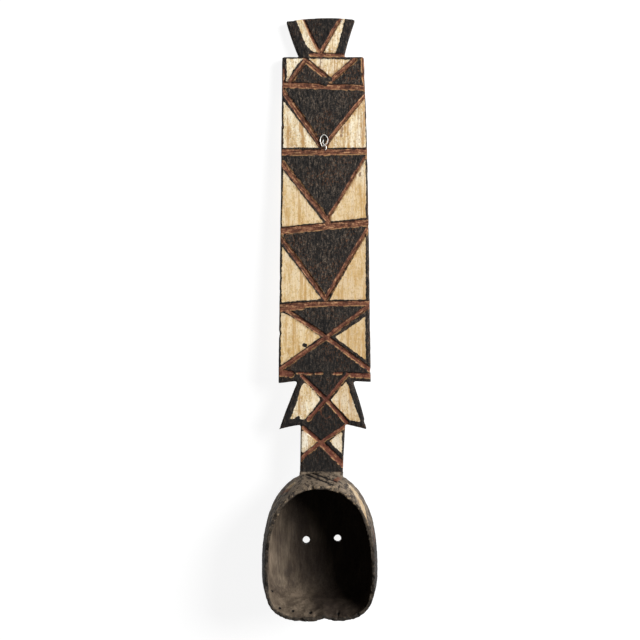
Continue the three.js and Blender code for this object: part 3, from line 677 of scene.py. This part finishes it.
def carve_marks(carved):
    """Bands, crust, tool marks and wear are cut in, and the fields of the paint and of the painted shade
    are kept on the points.
    """
    mesh = carved.data
    points = read_vectors(mesh.vertices, "co")
    normals = read_vectors(mesh.vertices, "normal")
    x, y, z = points.T
    upward = normals[:, 2]
    on_board = y > HEAD_TOP_Y
    edge = edge_distance(points, normals)
    back = on_board & (upward > FLAT_NORMAL) & (z > -FACE_SKIN)
    front = on_board & (upward < -FLAT_NORMAL) & (z < FACE_SKIN - PLANK_THICKNESS)
    inner = edge > EDGE_MARGIN
    points[back & inner, 2] = 0
    points[front & inner, 2] = -PLANK_THICKNESS

    columns, rows = photo_pixels(points)
    hollow = hollow_share(points, normals)
    face = ~on_board & (z < FACE_TOP_Z) & (hollow == 0)
    outer = ~on_board & (hollow < 0.5)
    fields = paint_depths(points, columns, rows, [back, front, face])
    rough = {name: noise_field(points, *settings) for name, settings in NOISES.items()}

    lift = BROAD_WAVE * rough["broad"] + SOFT_WAVE * rough["soft"]
    relief = band_relief(fields["red_band"], fields["white_paint"], rough)
    lift += np.where((back | front) & inner, relief, 0)
    rounding = smooth_step(ROUNDING_WIDTH, 0.0, edge) * on_board
    lift -= rounding * (ROUNDING_DEPTH + KNOCK_DEPTH * smooth_step(*KNOCK_RAMP, rough["knocks"]))

    scores = PIXEL * line_depth(columns, rows, BROW_SCORES)
    holes_foot = np.where(hollow > HOLE_INSIDE_SHARE, HOLE_FOOT_INSIDE, RIM_HEIGHT - HOLE_DROP)
    holes = lacing_marks(columns, rows, z, ~on_board & (z > holes_foot) & (upward > HOLE_NORMAL))
    near_rim = smooth_step(*RIM_RAMP, z) * ~on_board
    lift += hollow * (HOLLOW_ADZE * rough["adze"] + HOLLOW_GRAIN * rough["fine"])
    lift += outer * (OUTER_ADZE * rough["adze"] + OUTER_GRAIN * rough["fine"])
    cut = SCORE_DEPTH * smooth_step(*SCORE_RAMP, scores)
    lift -= np.where(~on_board & (upward > SCORE_NORMAL), cut, 0)
    lift -= HOLE_DEPTH * smooth_step(*HOLE_RAMP, holes)
    points += normals * lift[:, None]
    rim_loss = RIM_CHIP_DEPTH * smooth_step(*RIM_CHIP_RAMP, rough["knocks"])
    rim_loss += RIM_WAVE * np.abs(rough["soft"])
    points[:, 2] -= near_rim * rim_loss
    mesh.vertices.foreach_set("co", points.reshape(-1))
    mesh.update()

    seen = outer & (upward > SEEN_NORMAL)
    above_foot = z - (RIM_HEIGHT - MARK_DROP) + MARK_WANDER * rough["soft"]
    above_foot = np.where(upward > STEEP_NORMAL, FAR, above_foot)
    stains = PIXEL * line_depth(columns, rows, BROWN_STAINS)
    head_rust = np.minimum(PIXEL * line_depth(columns, rows, RUST_MARKS), above_foot)
    head_cream = np.minimum(PIXEL * patch_depth(columns, rows, CREAM_MARKS), above_foot)
    crown = 1 - CROWN_SHARE * smooth_step(*CROWN_RAMP, y)
    chipped = CHIPS_LEAST + (1 - CHIPS_LEAST) * smooth_step(*CHIPS_RAMP, y)
    fields.update({
        "cream_mark": np.where(seen, head_cream, -FAR),
        "rust_mark": np.select([back, seen], [stains, head_rust], -FAR),
        # Painted shade in the lacing holes and in the scored cracks on the head's outside.
        "hole_and_crack_shade": np.maximum(holes, np.where(seen, scores, -FAR)),
        "raw_hollow": hollow,
        # Painted shade on the hollow's right and upper walls, over a smoky patina.
        "hollow_shade_and_smoke": hollow * smooth_step(*SHADE_AND_SMOKE_RAMP, x + SHADE_AND_SMOKE_LEAN * y),
        "rim_wear": near_rim * smooth_step(*RIM_TOP_RAMP, upward) * crown,
        "rim_chips": near_rim * chipped,
        "worn_head": outer * smooth_step(*WORN_NORMAL_RAMP, upward) * smooth_step(*WORN_LEVEL_RAMP, y),
        "edge_wear": np.where(on_board, rounding, 0),
    })
    for name, values in fields.items():
        set_field(mesh, name, values)
    lie_down(mesh)


def lie_down(mesh):
    """The carving is turned to lie on the floor, and nothing goes under it."""
    mesh.transform(CARVING)
    lying = read_vectors(mesh.vertices, "co")
    lying[:, 2] = np.maximum(lying[:, 2], 0)
    mesh.vertices.foreach_set("co", lying.reshape(-1))
    mesh.update()


def cut_off(carved, keep_above):
    """Only the wood on one side of the cut between head and neck is kept, and the cut is closed."""
    cut_place = CARVING @ Vector((0, HEAD_CUT_Y, 0))
    cut_normal = CARVING.to_3x3() @ Vector((0, 1, 0))
    activate(carved)
    bpy.ops.object.mode_set(mode="EDIT")
    bpy.ops.mesh.select_all(action="SELECT")
    bpy.ops.mesh.bisect(
        plane_co=cut_place, plane_no=cut_normal, use_fill=True, clear_inner=keep_above,
        clear_outer=not keep_above)
    bpy.ops.object.mode_set(mode="OBJECT")
    bpy.ops.object.shade_smooth_by_angle(angle=SMOOTH_ANGLE)


# Materials.
class Nodes:
    """Short calls for building one material's nodes."""

    def __init__(self, name):
        self.material = bpy.data.materials.new(name)
        self.material.use_nodes = True
        self.tree = self.material.node_tree
        self.shader = next(node for node in self.tree.nodes if node.type == "BSDF_PRINCIPLED")

    def add(self, kind, inputs=None, **settings):
        node = self.tree.nodes.new(kind)
        for name, value in settings.items():
            setattr(node, name, value)
        for name, value in (inputs or {}).items():
            self.put(node.inputs[name], value)
        return node

    def put(self, socket, value):
        if isinstance(value, bpy.types.NodeSocket):
            self.tree.links.new(value, socket)
        elif isinstance(value, tuple) and socket.type == "RGBA":
            socket.default_value = (*value, 1)
        else:
            socket.default_value = value

    def field(self, name):
        return self.add("ShaderNodeAttribute", attribute_name=name).outputs["Fac"]

    def maths(self, operation, *values):
        node = self.add("ShaderNodeMath", operation=operation)
        for socket, value in zip(node.inputs, values):
            self.put(socket, value)
        return node.outputs[0]

    def plus(self, *values):
        total = values[0]
        for value in values[1:]:
            total = self.maths("ADD", total, value)
        return total

    def times(self, *values):
        product = values[0]
        for value in values[1:]:
            product = self.maths("MULTIPLY", product, value)
        return product

    def blend(self, *parts):
        """A sum of values, each times its share."""
        return self.plus(*(self.times(value, share) for value, share in parts))

    def step(self, value, low, high, out_low=0.0, out_high=1.0):
        places = {"Value": value, "From Min": low, "From Max": high, "To Min": out_low, "To Max": out_high}
        return self.add("ShaderNodeMapRange", places, interpolation_type="SMOOTHSTEP").outputs["Result"]

    def ramp(self, value, name):
        node = self.add("ShaderNodeValToRGB", {"Fac": value})
        ramp = node.color_ramp
        while len(ramp.elements) < len(RAMPS[name]):
            ramp.elements.new(0.5)
        for element, (place, colour) in zip(ramp.elements, RAMPS[name]):
            element.position = place
            element.color = (*srgb(*colour), 1)
        return node.outputs["Color"]

    def mix(self, share, first, second):
        node = self.add("ShaderNodeMix", data_type="RGBA")
        for socket, value in ((node.inputs[0], share), (node.inputs[6], first), (node.inputs[7], second)):
            self.put(socket, srgb(*value) if isinstance(value, tuple) else value)
        return node.outputs[2]

    def coat(self, name, under, place):
        """A coat's colour over what is under it, at its full share where its place is 1."""
        share, colour = COATS[name]
        return self.mix(self.times(place, share), under, colour)

    def noise(self, place, scale, detail, roughness):
        inputs = {"Vector": place, "Scale": scale, "Detail": detail, "Roughness": roughness}
        return self.add("ShaderNodeTexNoise", inputs).outputs["Fac"]

    def texture(self, name):
        stretch, *settings = TEXTURES[name]
        return self.noise(self.along_grain(stretch), *settings)

    def speckle(self, name):
        stretch, scale, detail, roughness, begin, full = SPECKLES[name]
        return self.step(self.noise(self.along_grain(stretch), scale, detail, roughness), begin, full)

    def along_grain(self, stretch):
        """Object coordinates turned into the carving frame, with the grain along Y stretched."""
        coordinates = self.add("ShaderNodeTexCoord").outputs["Object"]
        turned = self.add("ShaderNodeMapping", {"Vector": coordinates, "Rotation": (LYING_TURN, 0, 0)})
        scale = {0: turned.outputs["Vector"], 1: (1, stretch, 1)}
        return self.add("ShaderNodeVectorMath", scale, operation="MULTIPLY").outputs[0]

    def carving_place(self, axis):
        """Metres along an axis of the carving frame, from under the middle of the mask's length."""
        return self.add("ShaderNodeSeparateXYZ", {0: self.along_grain(1)}).outputs[axis]

    def level(self):
        return self.carving_place("Y")

    def look(self, colour, roughness, metallic=0.0):
        for name, value in (("Base Color", colour), ("Roughness", roughness), ("Metallic", metallic)):
            self.put(self.shader.inputs[name], value)

    def bump(self, height, strength, distance):
        node = self.add("ShaderNodeBump", {"Height": height, "Strength": strength, "Distance": distance})
        self.put(self.shader.inputs["Normal"], node.outputs["Normal"])


def srgb(red, green, blue):
    """A linear colour from the 0 to 255 values that it shows as."""
    shares = (red / 255, green / 255, blue / 255)
    return tuple(
        share / 12.92 if share <= 0.04045 else ((share + 0.055) / 1.055) ** 2.4 for share in shares)


def soot_colour(nodes, crust):
    """Black: a dry crust, streaked along the grain, flecked brown, deeper low down and on the crest."""
    soot = nodes.ramp(crust, "soot")
    flecks = nodes.times(nodes.speckle("brown flecks"), nodes.speckle("rubbed places"))
    soot = nodes.coat("brown flecks", soot, flecks)
    soot = nodes.coat("low soot", soot, nodes.step(nodes.level(), *LOW_SOOT_RAMP))
    return nodes.coat("crest soot", soot, nodes.step(nodes.level(), *CREST_SOOT_RAMP))


def chalk_colour(nodes, mottle):
    """White: thick chalk, yellowed in streaks down the grain and flaked in specks."""
    streaks = nodes.texture("chalk streaks")
    clouds = nodes.texture("chalk clouds")
    chalk = nodes.ramp(nodes.blend((streaks, 0.5), (clouds, 0.35), (mottle, 0.15)), "chalk")
    for name in ("flaked chalk", "fresh chalk", "drips"):
        chalk = nodes.coat(name, chalk, nodes.speckle(name))
    under_top = nodes.step(nodes.level(), *YELLOW_TOP_RAMP)
    yellow = nodes.times(under_top, nodes.step(nodes.level(), *YELLOW_FOOT_RAMP))
    chalk = nodes.coat("yellow chalk", chalk, yellow)
    right = nodes.step(nodes.carving_place("X"), *SHADED_RIGHT_RAMP)
    shaded = nodes.times(right, nodes.step(nodes.level(), *SHADED_RAMP))
    return nodes.coat("shaded chalk", chalk, shaded)


def earth_colour(nodes):
    """Red: iron earth rubbed into the bands, in strokes along them, and darker low down."""
    along = nodes.times(nodes.field("band_reach"), STROKE_STRETCH)
    place = nodes.add("ShaderNodeCombineXYZ", {"X": along, "Y": nodes.field("band_side")}).outputs[0]
    rub = nodes.blend((nodes.noise(place, *STROKES), 0.6), (nodes.texture("earth mottle"), 0.4))
    earth = nodes.coat("scuffs", nodes.ramp(rub, "earth"), nodes.speckle("scuffs"))
    return nodes.coat("low earth", earth, nodes.step(nodes.level(), *LOW_EARTH_RAMP))


def bare_wood(nodes):
    """Raw wood: grey brown, with dark lines along the grain."""
    fibre = nodes.texture("wood fibre")
    clouds = nodes.texture("wood clouds")
    return nodes.ramp(nodes.blend((fibre, 0.4), (clouds, 0.6)), "wood")


def painted_wood():
    nodes = Nodes("painted wood")
    mottle = nodes.texture("mottle")
    crust = nodes.blend((nodes.texture("streaks"), 0.5), (mottle, 0.5))
    wobble = nodes.maths("SUBTRACT", nodes.texture("wobble"), 0.5)
    drift = nodes.maths("SUBTRACT", nodes.texture("drift"), 0.5)
    ragged = nodes.blend((wobble, WOBBLE_WIDTH), (drift, DRIFT_WIDTH))
    breaks = nodes.speckle("breaks")
    chips = nodes.speckle("chips")
    chalk = chalk_colour(nodes, mottle)
    wood = bare_wood(nodes)

    red = nodes.plus(nodes.field("red_band"), ragged)
    white = nodes.step(nodes.plus(nodes.field("white_paint"), ragged), *WHITE_EDGE)
    colour = nodes.mix(white, soot_colour(nodes, crust), chalk)
    colour = nodes.coat("bleed", colour, nodes.times(nodes.step(red, *BLEED_EDGE), white, breaks))
    colour = nodes.mix(nodes.step(red, *RED_EDGE), colour, earth_colour(nodes))

    # Painted shadow along each band's upper edge, and a painted highlight, broken up, along its lower edge.
    side = nodes.field("band_side")
    ring = nodes.times(nodes.step(red, *RING_OUTSIDE), nodes.step(red, *RING_INSIDE))
    upper = nodes.step(side, RING_SIDE, -RING_SIDE)
    lower = nodes.times(nodes.step(side, -RING_SIDE, RING_SIDE), breaks)
    colour = nodes.coat("painted shadow edge", colour, nodes.times(ring, upper))
    colour = nodes.coat("painted highlight edge", colour, nodes.times(ring, lower))

    worn_pale = nodes.mix(WORN_PALE_SHARE, wood, WORN_PALE)
    worn = nodes.mix(nodes.speckle("worn wood"), WORN_DARK, worn_pale)
    colour = nodes.mix(nodes.times(nodes.field("worn_head"), WORN_SHARE), colour, worn)
    cream = nodes.step(nodes.plus(nodes.field("cream_mark"), ragged), *CREAM_EDGE)
    dirty_chalk = nodes.mix(CREAM_DIRT_SHARE, chalk, CREAM_DIRT)
    colour = nodes.mix(nodes.times(cream, CREAM_SHARE), colour, dirty_chalk)
    rust_depth = nodes.plus(nodes.field("rust_mark"), nodes.times(ragged, RUST_RAGGED))
    colour = nodes.coat("rust", colour, nodes.step(rust_depth, *RUST_EDGE))
    colour = nodes.mix(nodes.field("raw_hollow"), colour, wood)
    # Painted shade: the hollow darkens to the right and up, over a smoky patina.
    colour = nodes.coat("painted shade and smoke", colour, nodes.field("hollow_shade_and_smoke"))
    rim = nodes.step(nodes.plus(nodes.field("rim_wear"), wobble), *RIM_WEAR_RAMP)
    rim_wood = nodes.mix(nodes.times(breaks, RIM_WOOD_SHARE), RIM_DARK, wood)
    colour = nodes.mix(nodes.times(rim, RIM_SHARE), colour, rim_wood)
    colour = nodes.coat("rim chips", colour, nodes.times(nodes.field("rim_chips"), chips))
    colour = nodes.coat("edge wear", colour, nodes.times(nodes.field("edge_wear"), chips))
    # Painted shade in the lacing holes and the scored cracks.
    colour = nodes.coat("painted hole and crack shade", colour, nodes.step(nodes.field("hole_and_crack_shade"), *HOLE_EDGE))

    nodes.look(colour, nodes.step(mottle, 0.35, 0.65, 0.6, 0.95))
    nodes.put(nodes.shader.inputs["Specular IOR Level"], 0.25)
    nodes.bump(crust, 0.6, 0.003)
    return nodes.material


def wire_steel():
    nodes = Nodes("wire steel")
    tarnish = nodes.texture("tarnish")
    nodes.look(nodes.ramp(tarnish, "steel"), nodes.step(tarnish, 0.3, 0.7, 0.3, 0.5), metallic=0.3)
    nodes.bump(tarnish, 0.2, 0.0003)
    return nodes.material


def nail_iron():
    nodes = Nodes("nail iron")
    rust = nodes.texture("iron rust")
    nodes.look(nodes.ramp(rust, "iron"), 0.65, metallic=0.4)
    nodes.bump(rust, 0.4, 0.0004)
    return nodes.material


def set_material(item, material):
    item.data.materials.clear()
    item.data.materials.append(material)


head = carved_copy()
carve_marks(head)
set_material(head, painted_wood())
board = bpy.data.objects.new("carved_board", head.data.copy())
bpy.context.scene.collection.objects.link(board)
cut_off(head, keep_above=False)
cut_off(board, keep_above=True)
for piece in (head, board):
    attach(piece, "root")
    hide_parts("mask")
set_material(frame["nodes"]["hanging_wire"], wire_steel())
set_material(frame["nodes"]["hanging_nail"], nail_iron())


# Floor, lights and sky.
def floor():
    bpy.ops.mesh.primitive_plane_add(size=FLOOR_SIZE, location=(0, 0, -FLOOR_DROP))
    plane = bpy.context.object
    plane.name = "floor"
    nodes = Nodes("pale floor")
    nodes.look((FLOOR_SHADE, FLOOR_SHADE, FLOOR_SHADE), FLOOR_ROUGHNESS)
    nodes.put(nodes.shader.inputs["Emission Color"], WHITE)
    nodes.put(nodes.shader.inputs["Emission Strength"], FLOOR_GLOW)
    set_material(plane, nodes.material)


def key_light():
    data = bpy.data.lights.new("key", "AREA")
    data.shape = "DISK"
    data.size = KEY_SIZE
    data.energy = KEY_POWER
    light = bpy.data.objects.new("key", data)
    bpy.context.scene.collection.objects.link(light)
    light.location = KEY_PLACE
    light.rotation_euler = (-Vector(KEY_PLACE)).to_track_quat("-Z", "Y").to_euler()


def sky():
    world = bpy.data.worlds.new("studio")
    world.use_nodes = True
    background = world.node_tree.nodes["Background"]
    background.inputs["Color"].default_value = (*WHITE, 1)
    background.inputs["Strength"].default_value = SKY_STRENGTH
    bpy.context.scene.world = world


floor()
key_light()
sky()
bpy.context.scene.view_settings.view_transform = "Standard"
